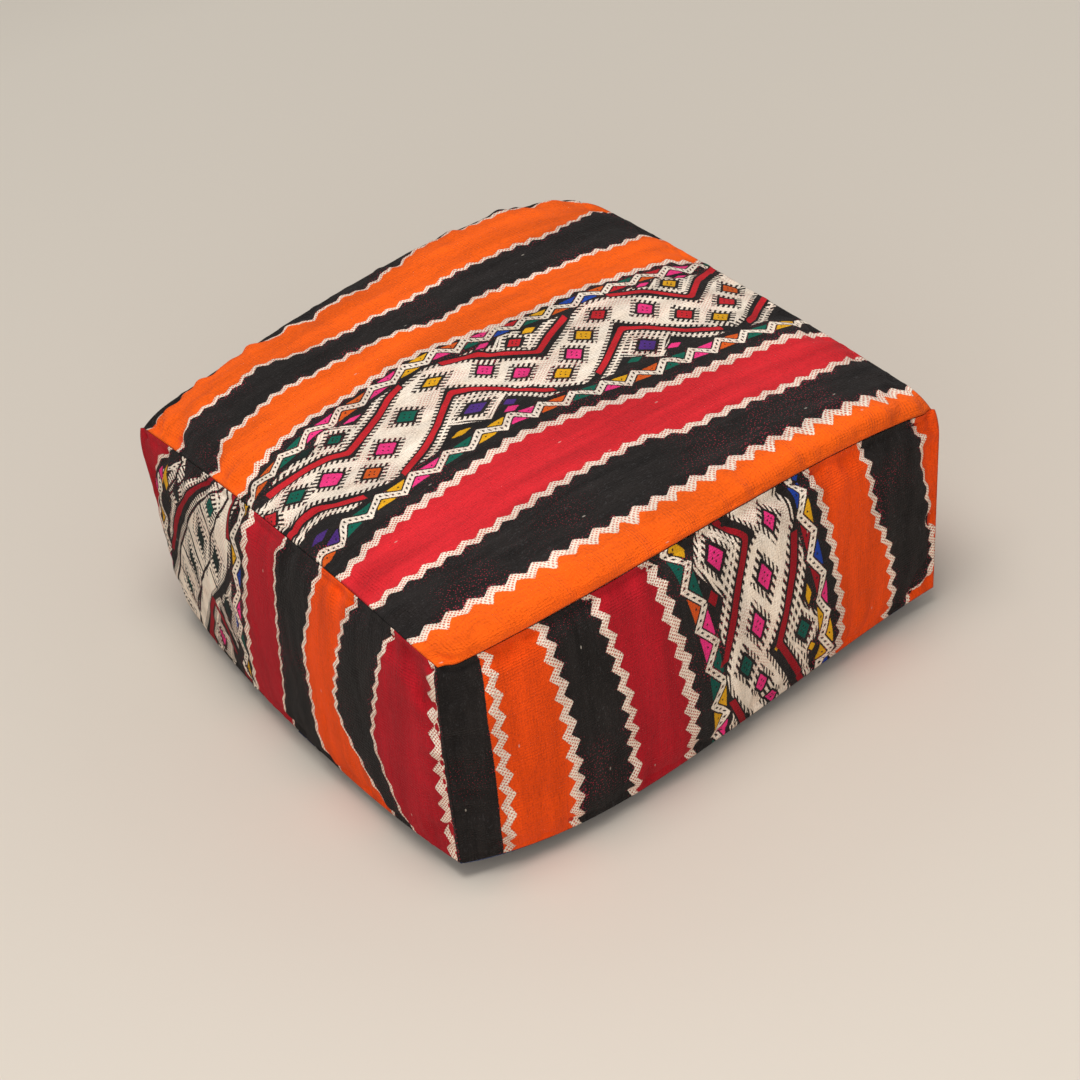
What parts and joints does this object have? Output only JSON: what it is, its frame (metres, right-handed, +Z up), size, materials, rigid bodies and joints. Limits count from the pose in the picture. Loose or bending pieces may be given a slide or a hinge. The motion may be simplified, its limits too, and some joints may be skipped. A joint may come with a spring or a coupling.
{
  "type": "pouf",
  "caption": "Square stuffed floor pouf with striped flat-woven wool panels, a canvas base closed by a zip, a cotton liner and filling.",
  "frame": {"origin": "on the floor under the middle of the pouf", "axes": "+X along the front and the zip, towards the shut end of the zip; +Y from the front wall to the back wall; +Z up"},
  "size_m": [0.6482, 0.625, 0.297],
  "materials": {
    "kilim_top": "matte",
    "kilim_side": "matte",
    "canvas": "matte",
    "cotton_liner": "matte",
    "filling": "matte",
    "zip_tape": "matte",
    "zip_coil": "satin",
    "zip_metal": "satin",
    "pull_metal": "satin"
  },
  "bodies": {
    "pouf": {"top_panel": "kilim_top", "front_panel": "kilim_side", "right_panel": "kilim_side", "back_panel": "kilim_side", "left_panel": "kilim_side", "base_front": "canvas", "base_back": "canvas", "liner_bag": "cotton_liner", "filling": "filling", "zip_tape_front": "zip_tape", "zip_tape_back": "zip_tape", "zip_coil_front": "zip_coil", "zip_coil_back": "zip_coil", "zip_top_stops": "zip_metal", "zip_bottom_stop": "zip_metal"},
    "slider": {"zip_slider": "zip_metal"},
    "pull": {"zip_pull": "pull_metal"}
  },
  "joints": [
    {"name": "zip_slide", "type": "slide", "parent": "pouf", "child": "slider", "axis": [-1, 0, 0], "range_m": [0, 0.577], "deforming": ["zip_coil_front", "zip_coil_back"]},
    {"name": "pull_turn", "type": "hinge", "parent": "slider", "child": "pull", "pos_m": [0.2886, 0, 0.0047], "axis": [0, -1, 0], "range_deg": [0, 175]}
  ]
}
